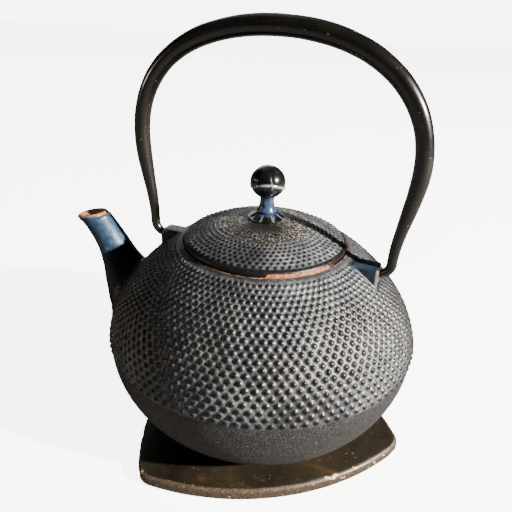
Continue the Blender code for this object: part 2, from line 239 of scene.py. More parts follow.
def box_object(name, low, high):
    mesh = bpy.data.meshes.new(name)
    work = bmesh.new()
    bmesh.ops.create_cube(work, size=1.0)
    size = Vector(high) - Vector(low)
    bmesh.ops.scale(work, vec=size, verts=work.verts)
    bmesh.ops.translate(work, vec=(Vector(low) + Vector(high)) / 2.0, verts=work.verts)
    work.to_mesh(mesh)
    work.free()
    return new_object(name, mesh)


def spline_points(stations, per_span):
    """A smooth curve through stations (Catmull-Rom), any number of values each."""
    stations = np.asarray(stations, float)
    padded = np.concatenate([[2 * stations[0] - stations[1]], stations, [2 * stations[-1] - stations[-2]]])
    out = []
    for i in range(1, len(padded) - 2):
        p0, p1, p2, p3 = padded[i - 1:i + 3]
        for k in range(per_span):
            t = k / per_span
            out.append(0.5 * (2 * p1 + (p2 - p0) * t + (2 * p0 - 5 * p1 + 4 * p2 - p3) * t * t
                              + (3 * p1 - p0 - 3 * p2 + p3) * t ** 3))
    out.append(stations[-1])
    return np.array(out)


def tube_rings(path, radii, count, normals=None):
    """Rings round a path that lies in a plane of constant y. Each ring is square to the path, or
    lies in the plane of its given normal and is stretched to stay on the tube's wall."""
    path = np.asarray(path, float)
    way = unit(np.gradient(path, axis=0))
    side = np.array([0.0, 1.0, 0.0])
    angle = angles(count)
    rings = []
    for i, (point, forward, radius) in enumerate(zip(path, way, radii)):
        normal = forward if normals is None else normals[i]
        across = np.cross(side, normal) / (forward @ normal)
        rings.append(point + radius * (np.outer(np.cos(angle), across) + np.outer(np.sin(angle), side)))
    return rings


def capped(name, rings):
    """A skin over rings with a flat cap at each end."""
    return skin(name, [rings[0].mean(0)[None]] + list(rings) + [rings[-1].mean(0)[None]])


# ---- Spout and lugs, shared by the solids and by the dots that stop short of them ----
SPOUT_STATIONS = (  # x, height above the pot's base, radius, in millimetres
    (-66.0, 42.0, 20.0),
    (-79.6, 54.0, 19.8),
    (-87.6, 66.0, 15.0),
    (-92.8, 76.5, 11.2),
    (-97.5, 86.2, 9.3),
    (-102.7, 94.4, 8.5),
    (-107.2, 99.8, 8.1),
    (-111.0, 103.1, 8.2),
    (-119.0, 109.9, 8.6),
)
SPOUT_WALL = 2.4 * MM
SPOUT_TIP = Vector((-110.6 * MM, 0.0, BASE + 103.4 * MM))
SPOUT_TIP_TILT = math.radians(11.0)
LUG_HALF = 6.0 * MM
LUG_INNER = 42.0 * MM
LUG_OUTER = 61.5 * MM
LUG_TOP = BASE + 103.3 * MM
LUG_BOTTOM = BASE + 84.0 * MM
RIGHT_LUG_ROUND = 1.6 * MM
LEFT_LUG_ROUND = 3.2 * MM

SPOUT_SIDE = -90.0 * MM  # only the spout reaches past this x
SPOUT_SWEEP = 20.0 * MM  # the rings turn to the tip's plane over this length

spout_line = spline_points(SPOUT_STATIONS, 6) * MM
spout_path = np.stack([spout_line[:, 0], 0 * spout_line[:, 0], spout_line[:, 1] + BASE], 1)
spout_radius = spout_line[:, 2]
tip_normal = np.array([-math.sin(SPOUT_TIP_TILT), 0.0, math.cos(SPOUT_TIP_TILT)])


def spout_distance(points):
    """Distance outside the spout's surface."""
    best = np.full(len(points), 1.0)
    near = np.where(points[:, 0] < -35.0 * MM)[0]
    for a, b, ra, rb in zip(spout_path[:-1], spout_path[1:], spout_radius[:-1], spout_radius[1:]):
        run = b - a
        t = np.clip((points[near] - a) @ run / (run @ run), 0.0, 1.0)
        gap = np.linalg.norm(points[near] - a - t[:, None] * run, axis=1) - (ra + t * (rb - ra))
        best[near] = np.minimum(best[near], gap)
    return best


def lug_distance(points):
    """Distance outside the nearer lug's box."""
    dx = np.maximum(LUG_INNER - np.abs(points[:, 0]), np.abs(points[:, 0]) - LUG_OUTER)
    dy = np.abs(points[:, 1]) - LUG_HALF
    dz = np.maximum(LUG_BOTTOM - points[:, 2], points[:, 2] - LUG_TOP)
    return np.linalg.norm(np.maximum(np.stack([dx, dy, dz], 1), 0.0), axis=1)


# ---- Dots ----
def graded(curve, first, last):
    """The curve resampled with a step that grows evenly from `first` to `last`."""
    run = run_along(curve)
    count = int(round(2.0 * run[-1] / (first + last)))
    at = np.concatenate([[0.0], np.cumsum(np.linspace(first, last, count))])
    at *= run[-1] / at[-1]
    return resample(curve, run, at)


def dot_field(profile, dots, rows, heights, sizes, phase):
    """Rings over a profile with a staggered field of raised dots.

    rows: index of the profile point under each row of dots; heights, sizes: how proud and how
    wide (radius) the dots of each row are."""
    columns = dots * COLUMNS_PER_DOT
    angle = angles(columns)
    tangent = unit(np.gradient(profile, axis=0))
    normal = np.stack([-tangent[:, 1], tangent[:, 0]], 1)
    run = run_along(profile)
    lift = np.zeros((len(profile), columns))
    for number, (row, tall, size) in enumerate(zip(rows, heights, sizes)):
        pitch = 2.0 * math.pi * profile[row, 0] / dots
        jitter_a = rng.normal(0.0, 0.022, dots)
        jitter_r = rng.normal(0.0, 0.05 * MM, dots)
        jitter_h = np.clip(rng.normal(1.0, 0.08, dots), 0.75, 1.15)
        place = angle / (2.0 * math.pi) * dots - 0.5 * (number % 2) - phase
        index = np.round(place).astype(int)
        off_a = (place - index - jitter_a[index % dots]) * pitch
        for i in np.where(np.abs(run - run[row]) < size * 1.15)[0]:
            off_r = run[i] - run[row] - jitter_r[index % dots]
            share = np.clip(1.0 - (off_a ** 2 + off_r ** 2) / size ** 2, 0.0, 1.0)
            lift[i] = np.maximum(lift[i], tall * jitter_h[index % dots] * share ** 0.75)
    base = np.stack([shaped_ring(radius, height, angle) for radius, height in profile])
    out = np.stack([shaped_ring(radius, height, angle) for radius, height in normal])
    if out[0, :, 2].mean() < 0:
        out = -out
    return base, out, lift


# ---- Materials ----
class Shader:
    """A small helper to write node materials."""

    def __init__(self, name):
        self.material = bpy.data.materials.new(name)
        self.material.use_nodes = True
        self.tree = self.material.node_tree
        self.out = self.tree.nodes["Principled BSDF"]
        self.position = self.tree.nodes.new("ShaderNodeTexCoord").outputs["Object"]

    def feed(self, socket, value):
        """Link a socket to another, or set its value; three numbers are an opaque colour."""
        if hasattr(value, "is_linked"):
            self.tree.links.new(value, socket)
        else:
            socket.default_value = (*value, 1.0) if isinstance(value, tuple) else value

    def node(self, kind, **inputs):
        """A new node with some of its inputs fed; an underscore stands for a space."""
        made = self.tree.nodes.new("ShaderNode" + kind)
        for name, value in inputs.items():
            self.feed(made.inputs[name.replace("_", " ")], value)
        return made

    def noise(self, scale, detail=4.0, rough=0.55, stretch=None):
        source = self.position
        if stretch:
            shaped = self.node("Mapping", Vector=source)
            shaped.inputs["Scale"].default_value = stretch
            source = shaped.outputs[0]
        made = self.node("TexNoise", Scale=scale, Detail=detail, Roughness=rough, Vector=source)
        return made.outputs["Fac"]

    def ramp(self, value, stops):
        """Colours (or plain levels) at positions along a value."""
        made = self.node("ValToRGB", Fac=value)
        marks = made.color_ramp.elements
        while len(marks) < len(stops):
            marks.new(0.5)
        for mark, (at, color) in zip(marks, stops):
            mark.position = at
            mark.color = (*color, 1.0) if isinstance(color, tuple) else (color, color, color, 1.0)
        return made.outputs["Color"]

    def mix(self, factor, a, b):
        made = self.node("Mix")
        made.data_type = "RGBA"
        for index, value in ((0, factor), (6, a), (7, b)):
            self.feed(made.inputs[index], value)
        return made.outputs[2]

    def math(self, operation, a, b):
        made = self.node("Math")
        made.operation = operation
        self.feed(made.inputs[0], a)
        self.feed(made.inputs[1], b)
        return made.outputs[0]

    def times(self, a, b):
        return self.math("MULTIPLY", a, b)

    def band(self, value, low, high):
        """0 below low and 1 above high."""
        made = self.node("MapRange", Value=value)
        made.interpolation_type = "SMOOTHSTEP"
        made.inputs["From Min"].default_value = low
        made.inputs["From Max"].default_value = high
        return made.outputs["Result"]

    def attribute(self, name):
        made = self.node("Attribute")
        made.attribute_name = name
        return made.outputs["Fac"]

    def ragged(self, name, value, amount):
        """An attribute whose border wanders with a noise."""
        wander = self.times(self.math("SUBTRACT", value, 0.5), amount)
        return self.math("ADD", self.attribute(name), wander)

    def bump(self, value, depth, strength):
        """Layer a bump over the ones added before."""
        made = self.node("Bump", Strength=strength, Distance=depth, Height=value)
        normal = self.out.inputs["Normal"]
        if normal.is_linked:
            self.feed(made.inputs["Normal"], normal.links[0].from_socket)
        self.feed(normal, made.outputs["Normal"])

    def finish(self, color, rough, metal=0.0, coat=0.0):
        self.feed(self.out.inputs["Base Color"], color)
        self.feed(self.out.inputs["Roughness"], rough)
        self.feed(self.out.inputs["Metallic"], metal)
        self.feed(self.out.inputs["Coat Weight"], coat)
        self.out.inputs["Coat Roughness"].default_value = 0.25
        return self.material


LIT_LINE_WAY = (-0.46, 0.0, 0.888)  # across the painted shadow line: the spout's end past it is painted sky-lit bluish, the rest painted shadow
LIT_LINE_AT = 96.0 * MM * 0.46 + (BASE + 83.4 * MM) * 0.888


def paint(obj, **looks):
    """Store named looks, one number per vertex each."""
    for name, values in looks.items():
        made = obj.data.attributes.new(name, "FLOAT", "POINT")
        made.data.foreach_set("value", np.asarray(values, np.float32))


def vertices(obj):
    flat = np.empty(len(obj.data.vertices) * 3)
    obj.data.vertices.foreach_get("co", flat)
    return flat.reshape(-1, 3)


def polar(obj):
    """Each vertex's place, its distance from the turned axis and its angle round it."""
    at = vertices(obj)
    return at, np.hypot(at[:, 0], at[:, 1]), np.arctan2(at[:, 1], at[:, 0])


def step01(values, low, high):
    """0 below low, 1 above high, straight between."""
    return np.clip((values - low) / (high - low), 0.0, 1.0)


def swell(values, middle, half):
    """A smooth bump of height 1 and half width `half`."""
    return np.exp(-((values - middle) / half) ** 2)


def iron_material(name, sand, grain_scale):
    """Dark cast iron with dust in the hollows, rubbed dots, a sandy plain part and rusting edges, plus
    painted light: a bluish sky reflection, painted shadow and pale painted highlights.
    """
    s = Shader(name)
    grain = s.noise(1500.0, 2.0, 0.7)
    cloud = s.noise(34.0, 5.0)
    bare = s.ramp(cloud, [(0.3, (0.006, 0.006, 0.0075)), (0.7, (0.018, 0.0165, 0.0165))])
    dust = s.ramp(s.noise(90.0, 5.0), [(0.35, (0.056, 0.066, 0.080)), (0.65, (0.178, 0.190, 0.202))])
    dust = s.mix(s.band(s.noise(900.0, 3.0, 0.6), 0.42, 0.62), s.mix(0.7, dust, bare), dust)
    patchy = s.band(s.noise(24.0, 3.0), 0.30, 0.60)
    # Dust in the hollows; on the lid its amount also carries painted light, lighter on the lit sides.
    dust_and_light = s.times(s.attribute("hollow"), s.math("ADD", 0.45, s.times(patchy, 0.45)))
    iron = s.mix(dust_and_light, bare, dust)
    # Painted sky reflection: a bluish colour laid on the lugs, the spout's lit end and, in the lacquer, the
    # knob's neck and rosette.
    cool = s.ramp(s.noise(260.0, 4.0), [(0.3, (0.018, 0.050, 0.105)), (0.7, (0.075, 0.140, 0.235))])
    way = s.node("VectorMath")
    way.operation = "DOT_PRODUCT"
    s.feed(way.inputs[0], s.position)
    way.inputs[1].default_value = LIT_LINE_WAY
    # Painted light on the spout: past a slightly wavy line its end is painted sky-lit bluish; the rest of the
    # spout is painted shadow, near-black.
    wander = s.times(s.math("SUBTRACT", s.noise(300.0, 3.0), 0.5), 1.0 * MM)
    along = s.math("ADD", way.outputs["Value"], wander)
    sky_lit_spout = s.times(s.band(along, LIT_LINE_AT - 0.1 * MM, LIT_LINE_AT + 0.1 * MM), s.attribute("spout"))
    shaded_spout = s.times(s.math("SUBTRACT", s.attribute("spout"), sky_lit_spout), 0.85)
    sky_lit = s.math("MAXIMUM", s.attribute("cool"), sky_lit_spout)
    iron = s.mix(sky_lit, iron, cool)
    grit = s.noise(grain_scale, 2.0, 0.8)
    sandy = s.ramp(grit, sand)
    iron = s.mix(s.attribute("sandy"), iron, sandy)
    # Painted shade: this near-black also carries the painted shadow on the lower spout and the painted shade
    # on the left lug's lower faces.
    iron = s.mix(s.math("MAXIMUM", s.attribute("dark"), shaded_spout), iron, (0.007, 0.0065, 0.0065))
    speck = s.band(s.noise(520.0, 2.0), 0.70, 0.74)
    speck_color = s.mix(s.attribute("sandy"), (0.20, 0.10, 0.055), (0.34, 0.33, 0.33))
    iron = s.mix(s.times(speck, 0.5), iron, speck_color)
    # Pale edges: painted highlights on the lug corners, and the spout's lip rubbed pale with its painted
    # highlight.
    iron = s.mix(s.times(s.attribute("worn"), 0.7), iron, (0.30, 0.31, 0.33))
    # Orange rusting colour, also laid on as painted warm sunlight on the right lug's outer face and, more
    # strongly, on the lid edge's lit side.
    rust = s.ramp(s.noise(420.0, 4.0), [(0.30, (0.075, 0.024, 0.010)), (0.55, (0.36, 0.135, 0.065)),
                                        (0.8, (0.56, 0.26, 0.13))])
    ragged = s.ragged("rust", s.noise(330.0, 3.0), 0.9)
    rusty = s.band(ragged, 0.40, 0.62)
    color = s.mix(rusty, iron, rust)
    rough = s.ramp(s.noise(620.0, 3.0), [(0.3, 0.24), (0.7, 0.44)])
    rough = s.mix(s.times(dust_and_light, 0.7), rough, (0.50, 0.50, 0.50))
    rough = s.mix(s.attribute("sandy"), rough, (0.55, 0.55, 0.55))
    cool_rough = s.ramp(s.noise(500.0, 3.0), [(0.35, 0.30), (0.65, 0.62)])
    rough = s.mix(sky_lit, rough, cool_rough)
    rough = s.mix(s.attribute("glaze"), rough, (0.14, 0.14, 0.14))
    rough = s.mix(rusty, rough, (0.75, 0.75, 0.75))
    s.bump(grain, 0.10 * MM, 0.7)
    s.bump(s.times(grit, s.attribute("sandy")), 0.30 * MM, 0.7)
    s.bump(s.noise(430.0, 3.0), 0.20 * MM, 0.55)
    metal = s.times(s.math("SUBTRACT", 1.0, s.math("MAXIMUM", rusty, dust_and_light)), 0.45)
    return s.finish(color, rough, metal)


def lacquer_material(name, dark, warm, rough_low, rough_high, depth, coat):
    """Black lacquer over metal, with a little brown and pale specks, a painted bluish sky reflection and pale
    painted highlights where the looks ask for them.
    """
    s = Shader(name)
    tone = s.ramp(s.noise(55.0, 5.0), [(0.35, dark), (0.72, warm)])
    speck = s.band(s.noise(900.0, 1.0), 0.745, 0.775)
    tone = s.mix(s.times(speck, 0.7), tone, (0.20, 0.18, 0.14))
    rough = s.ramp(s.noise(280.0, 3.0), [(0.3, rough_low), (0.7, rough_high)])
    # Painted sky reflection: bluish colour on the knob's neck and the rosette's middle.
    cool = s.ramp(s.noise(300.0, 4.0), [(0.35, (0.006, 0.018, 0.045)),
                                        (0.65, (0.042, 0.078, 0.140))])
    tone = s.mix(s.attribute("cool"), tone, cool)
    tone = s.mix(s.attribute("worn"), tone, (0.42, 0.47, 0.55))
    s.bump(s.noise(420.0, 3.0), depth, 0.55)
    return s.finish(tone, rough, 0.1, coat)


def trivet_material(name):
    """Brown-black lacquer, rubbed through to bronze-grey iron at the edges, chipped here and there."""
    s = Shader(name)
    tone = s.ramp(s.noise(30.0, 6.0), [(0.35, (0.0085, 0.0072, 0.0047)), (0.6, (0.020, 0.0155, 0.009)),
                                       (0.8, (0.040, 0.026, 0.012))])
    amber = s.band(s.noise(60.0, 5.0, 0.6, (1.0, 2.6, 1.0)), 0.54, 0.74)
    tone = s.mix(s.times(amber, 0.4), tone, (0.10, 0.052, 0.018))
    ragged = s.ragged("edge", s.noise(70.0, 5.0, 0.65), 1.5)
    worn = s.band(ragged, 0.30, 0.75)
    bronze = s.ramp(s.noise(900.0, 3.0, 0.7), [(0.35, (0.028, 0.019, 0.012)), (0.6, (0.105, 0.074, 0.048)),
                                               (0.75, (0.30, 0.22, 0.15))])
    tone = s.mix(s.times(worn, 0.62), tone, bronze)
    near_edge = s.band(s.attribute("edge"), 0.30, 0.6)
    chip = s.times(s.band(s.noise(130.0, 3.0), 0.615, 0.635), near_edge)
    tone = s.mix(chip, tone, (0.52, 0.31, 0.21))
    speck = s.band(s.noise(800.0, 1.0), 0.735, 0.77)
    tone = s.mix(s.times(speck, 0.6), tone, (0.24, 0.17, 0.10))
    rough = s.ramp(s.noise(220.0, 3.0), [(0.3, 0.30), (0.7, 0.46)])
    rough = s.mix(worn, rough, (0.52, 0.52, 0.52))
    s.bump(s.noise(300.0, 4.0), 0.10 * MM, 0.6)
    s.bump(s.noise(60.0, 3.0), 0.30 * MM, 0.4)
    return s.finish(tone, rough, 0.2, 0.15)


def steel_material(name):
    """Brushed stainless steel."""
    s = Shader(name)
    lines = s.noise(1.0, 3.0, 0.55, (60.0, 60.0, 2500.0))
    tone = s.ramp(lines, [(0.3, (0.45, 0.45, 0.44)), (0.7, (0.68, 0.68, 0.66))])
    s.bump(lines, 0.02 * MM, 0.5)
    return s.finish(tone, s.ramp(lines, [(0.3, 0.22), (0.7, 0.38)]), 1.0)


POT_IRON = iron_material("pot_iron_look", [(0.42, (0.011, 0.011, 0.014)), (0.55, (0.034, 0.033, 0.037)),
                                           (0.66, (0.15, 0.14, 0.138))], 1900.0)
LID_IRON = iron_material("lid_iron_look", [(0.47, (0.004, 0.004, 0.004)), (0.54, (0.040, 0.038, 0.036)),
                                           (0.61, (0.50, 0.47, 0.41))], 1000.0)
HANDLE_LACQUER = lacquer_material("handle_look", (0.0024, 0.0022, 0.0019), (0.007, 0.006, 0.0042),
                                  0.17, 0.25, 0.03 * MM, 0.7)
KNOB_LACQUER = lacquer_material("knob_look", (0.002, 0.002, 0.0025), (0.007, 0.006, 0.006),
                                0.09, 0.17, 0.03 * MM, 0.4)
TRIVET_LACQUER = trivet_material("trivet_look")
STEEL = steel_material("steel_look")


def dress(obj, material, body, slot_name, *nodes, sharp=50.0):
    """Finish a piece: shading, material, the body it rides on and the solids it stands for."""
    smooth(obj, sharp)
    obj.data.materials.clear()
    obj.data.materials.append(material)
    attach(obj, body)
    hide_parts(*nodes)
    return obj


# ---- The pot ----
MOUTH = 43.8 * MM
LEDGE = BASE + 103.6 * MM
LEDGE_RADIUS = 42.0 * MM
RIM_LEDGE = BASE + 102.4 * MM
THROAT = 37.8 * MM
THROAT_BOTTOM = BASE + 98.6 * MM
WALL = 3.2 * MM
CAVITY_RISE = DOME_RISE - 4.5 * MM
BASE_WALL = 4.5 * MM
DOTS_START = 44.6 * MM  # radius where the dotted zone starts, outside the plain rim
DOTS_END = BASE + 52.6 * MM
FIRST_PITCH = 2.80 * MM  # between rows, at the mouth
LAST_PITCH = 3.16 * MM  # and at the belly
PLAIN_COLUMNS = 104
DOT_PHASE = 0.22  # where round the pot the dots stand, in dots


def fill_cap(radius, height, columns):
    """Rings that close the top of the casting inside the dotted zone, later cut away."""
    middle = ring(radius * 0.5, height, columns)
    return [pole(height), middle, ring(radius, height, columns)]


def spout_solid():
    """The spout's outer shape, with a rounded lip in the plane of its tip."""
    keep = spout_path[:, 0] > SPOUT_TIP.x + 0.6 * MM
    path = np.concatenate([spout_path[keep], [np.array(SPOUT_TIP)]])
    tip_radius = float(np.interp(-SPOUT_TIP.x, -spout_path[:, 0], spout_radius))
    radii = np.concatenate([spout_radius[keep], [tip_radius]])
    way = unit(np.gradient(path, axis=0))
    left = np.concatenate([np.cumsum(np.linalg.norm(np.diff(path, axis=0), axis=1)[::-1])[::-1], [0.0]])
    turn = ease(np.clip(1.0 - left / SPOUT_SWEEP, 0.0, 1.0)[:, None])
    normals = unit(way * (1.0 - turn) + tip_normal * turn)
    rings = tube_rings(path, radii, 72, normals)
    edge = rings[-1]
    middle = edge.mean(0)
    rings = rings[:-1]
    for inset, drop in ((-0.1, 1.7), (-0.15, 1.1), (0.1, 0.45), (0.5, 0.1), (1.3, 0.0)):
        shrunk = middle + (edge - middle) * (1.0 - inset * MM / tip_radius)
        rings.append(shrunk - tip_normal * drop * MM)
    return capped("spout_tool", rings), normals


def bore_solid(normals):
    """The passage through the spout, flared a little at the lip."""
    start = 12
    path = spout_path[start:len(normals) - 1]
    radii = spout_radius[start:len(normals) - 1] - SPOUT_WALL
    entry = np.array([[-70.0 * MM, 0.0, BASE + 46.0 * MM]])
    path = np.concatenate([entry, path])
    radii = np.concatenate([[9.0 * MM], radii])
    planes = np.concatenate([normals[start:start + 1], normals[start:len(normals) - 1]])
    rings = tube_rings(path, radii, 56, planes)
    last = rings[-1]
    middle = last.mean(0)
    to_tip = (np.array(SPOUT_TIP) - middle) @ tip_normal
    lean = (np.array(SPOUT_TIP) - middle) / to_tip
    for above, flare in ((-1.1, 0.0), (-0.5, 0.15), (-0.1, 0.5), (0.3, 1.0), (6.0, 1.2)):
        grown = middle + (last - middle) * (1.0 + flare * MM / radii[-1])
        rings.append(grown + lean * (to_tip + above * MM))
    return capped("bore_tool", rings)


def lug_solid(side):
    """One ear of the casting."""
    xs = sorted((side * LUG_INNER, side * LUG_OUTER))
    lug = box_object("lug_tool", (xs[0], -LUG_HALF, LUG_BOTTOM), (xs[1], LUG_HALF, LUG_TOP))
    edge = lug.modifiers.new("Round", "BEVEL")
    edge.width = RIGHT_LUG_ROUND if side > 0 else LEFT_LUG_ROUND
    edge.segments = 5
    apply_all(lug)
    return lug


SPOUT_THROAT = BASE + 80.0 * MM
THROAT_FADE = 12.0 * MM
ROOT_SPREAD = 4.5 * MM  # the smooth root reaches this far under the spout


def pot_looks(pot):
    """Where the casting has dust in its hollows, is sandy, dark, glazed or rusting, per vertex, and where it
    gets a painted sky reflection, painted shade and painted highlights.
    """
    at, radius, _ = polar(pot)
    height = at[:, 2]
    surface = dome_r(np.clip(height, BELLY, BELLY + DOME_RISE))
    bowl = BELLY_RADIUS * np.sqrt(np.clip(1.0 - ((BELLY - height) / BOWL_DROP) ** 2, 0.0, 1.0))
    surface = np.where(height > BELLY, surface, bowl)
    steep = np.where(height > BELLY, step01(surface, 20 * MM, BELLY_RADIUS), 1.0)
    proud = (radius - surface) * steep
    spout_gap = spout_distance(at) - ROOT_SPREAD * below_spout(height)
    lug_gap = lug_distance(at)
    fitting = np.minimum(spout_gap, lug_gap)
    inside = step01(-proud, 1.0 * MM, 1.8 * MM) * (height < LEDGE)
    dotted = step01(height, DOTS_END - 0.4 * MM, DOTS_END + 0.2 * MM)
    tip = (at - np.array(SPOUT_TIP)) @ tip_normal
    bore = step01(-spout_gap, 0.5 * MM, 1.0 * MM) * (proud > 0.6 * MM) * (at[:, 0] < -70.0 * MM)
    lip = step01(tip, -0.9 * MM, -0.2 * MM) * (at[:, 0] < SPOUT_SIDE)
    near_tip = step01(tip, -16.0 * MM, -4.0 * MM)
    mouth = (radius < MOUTH + 0.25 * MM) * (height > BASE + 99.0 * MM)
    hollow = dotted * (1.0 - step01(proud, 0.15 * MM, 0.6 * MM)) * (1.0 - inside)
    hollow *= step01(fitting, 0.0, 1.5 * MM) * (0.45 + 0.55 * step01(radius, 45.0 * MM, 45.8 * MM))
    fitted = (1.0 - step01(fitting, -0.3 * MM, 0.6 * MM)) * (1.0 - inside) * (proud > 0.4 * MM)
    on_spout = fitted * (spout_gap < lug_gap)
    left_side = at[:, 0] < 0.0
    # The left lug is painted sky-lit only near its top; its lower faces get painted shade instead.
    upper_lug = step01(height, LUG_TOP - 4.0 * MM, LUG_TOP - 1.5 * MM)
    on_lug = (fitted - on_spout) * np.where(left_side, upper_lug, 1.0)
    # Painted highlights: a pale band along each lug's outer vertical corners; round the spout's lip a pale
    # rubbed rim that doubles as its highlight.
    corner = np.abs(np.abs(at[:, 1]) - LUG_HALF) + np.abs(np.abs(at[:, 0]) - LUG_OUTER)
    lug_edge_highlight = (1.0 - step01(corner, 0.9 * MM, 1.5 * MM)) * (fitted - on_spout)
    lip_highlight = step01(tip, -1.2 * MM, -0.6 * MM) * (1.0 - step01(tip, -0.5 * MM, -0.25 * MM))
    # Painted light: the right lug's outer face gets a warm brownish tint standing in for sunlight on it.
    sunlit_outer_face = (at[:, 0] > LUG_OUTER - 0.15 * MM) * (np.abs(at[:, 1]) < LUG_HALF - 0.9 * MM)
    # Painted shade on the left lug's lower faces.
    black = (fitted - on_spout - on_lug) * 0.85
    dark = np.maximum.reduce([0.9 * inside, black, bore * (1.0 - near_tip)]) * (1.0 - mouth)
    rust = np.maximum.reduce([bore * near_tip, lip, 0.62 * mouth, 0.5 * sunlit_outer_face * (fitted > 0.5)])
    paint(pot, hollow=hollow, sandy=(1.0 - dotted) * (1.0 - inside), cool=0.42 * on_lug, spout=on_spout,
          worn=np.maximum(lug_edge_highlight, lip_highlight * (at[:, 0] < SPOUT_SIDE)), dark=dark,
          glaze=inside * (1.0 - mouth), rust=rust)


def below_spout(height):
    """1 at the foot of the spout's root, 0 above its throat."""
    return step01(SPOUT_THROAT - height, 0.0, THROAT_FADE)


def build_pot():
    dome = dome_curve(DOTS_START, 4000)
    dome = dome[dome[:, 1] > DOTS_END]
    profile = graded(dome, FIRST_PITCH / STEPS_PER_ROW, LAST_PITCH / STEPS_PER_ROW)
    rows = np.arange(len(profile) - 4, 2, -STEPS_PER_ROW)[::-1]
    pitch = 2.0 * math.pi * profile[rows, 0] / POT_DOTS
    sizes = np.minimum(POT_DOT_SIZE, 0.41 * pitch)
    heights = np.interp(profile[rows, 0], [46 * MM, 78 * MM], [0.72 * MM, 1.0 * MM])
    base, out, lift = dot_field(profile, POT_DOTS, rows, heights, sizes, DOT_PHASE)
    flat = base.reshape(-1, 3)
    spout_gap = spout_distance(flat).reshape(lift.shape)
    lug_gap = lug_distance(flat).reshape(lift.shape)
    free = np.minimum(spout_gap - ROOT_SPREAD * below_spout(base[:, :, 2]), lug_gap)
    lift *= np.clip((free - 0.8 * MM) / (0.9 * MM), 0.0, 1.0)
    under = below_spout(base[:, :, 2])
    reach = (6.0 + 12.0 * under) * MM
    fillet = (2.6 + 3.2 * under) * MM * np.clip(1.0 - np.maximum(spout_gap, 0.0) / reach, 0.0, 1.0) ** 2
    fillet += 0.8 * MM * np.clip(1.0 - np.maximum(lug_gap, 0.0) / (2.0 * MM), 0.0, 1.0) ** 2
    field = base + out * (lift + fillet)[:, :, None]
    inner = MOUTH - 0.5 * MM
    rings = fill_cap(inner, float(dome_z(inner)), PLAIN_COLUMNS)
    rings += list(field)
    edge = profile[-1]
    rings += ring_stack(beside(*edge, (-0.12, -0.45), (-0.16, -0.9)), PLAIN_COLUMNS * 2)
    bowl = bowl_curve(BASE + 1.2 * MM, 34)
    for radius, height in bowl:
        if height < edge[1] - 1.3 * MM:
            rings.append(ring(radius - 0.1 * MM, height, PLAIN_COLUMNS))
    foot = bowl[-1, 0]
    rings += ring_stack([*beside(foot, BASE, (-1.6, 0.25), (-2.8, 0)), (20.0 * MM, BASE)], PLAIN_COLUMNS)
    rings.append(pole(BASE))
    pot = skin("pot_casting", rings)

    spout, normals = spout_solid()
    combine(pot, spout, "UNION")
    for side in (-1, 1):
        combine(pot, lug_solid(side), "UNION")
    wall_belly = BELLY_RADIUS - WALL
    shoulder = float(dome_r(THROAT_BOTTOM, CAVITY_RISE, wall_belly))
    above = LEDGE + 20.0 * MM
    neck = [(0.0, above), (MOUTH, above), (MOUTH, LEDGE), (LEDGE_RADIUS, LEDGE),
            (LEDGE_RADIUS, RIM_LEDGE), (THROAT, RIM_LEDGE), (THROAT, THROAT_BOTTOM)]
    inside = [tuple(p) for p in dome_curve(shoulder, 24, CAVITY_RISE, wall_belly)]
    inside += [tuple(p) for p in bowl_curve(BASE + BASE_WALL, 20, BOWL_DROP - WALL, wall_belly)]
    cavity = lathe("cavity_tool", neck + inside + [(0.0, BASE + BASE_WALL)], PLAIN_COLUMNS, False)
    combine(pot, cavity, "DIFFERENCE")
    combine(pot, bore_solid(normals), "DIFFERENCE")
    for side in (-1, 1):
        ends = sorted((side * PEG_HOLE_END, side * (LUG_OUTER + 4.5 * MM)))
        path = np.array([[ends[0], 0.0, HINGE], [ends[1], 0.0, HINGE]])
        combine(pot, capped("hole_tool", tube_rings(path, [PEG_HOLE_RADIUS] * 2, 32)), "DIFFERENCE")
    pot_looks(pot)
    return dress(pot, POT_IRON, "pot", "pot_iron", "pot_body")


# ---- The lid ----
LID_SEAT = 10.4 * MM
LID_THICK = 3.8 * MM
LID_ROW_PITCH = 2.36 * MM
LID_DOTS_INNER = 17.5 * MM
LID_DOTS_OUTER = 41.6 * MM
SHANK_HOLE = 2.7 * MM
SKIRT_OUTER = 35.0 * MM
SKIRT_INNER = 33.0 * MM
SKIRT_BOTTOM = BASE + 99.2 * MM
DARK_SECTOR_FACING = -78.0  # degrees: the darkened sector in front of the knob
DARK_SECTOR_HALF = 52.0


def lid_z(radius):
    """Height of the lid's outer surface."""
    return dome_z(radius, LID_RISE, LID_SPREAD)


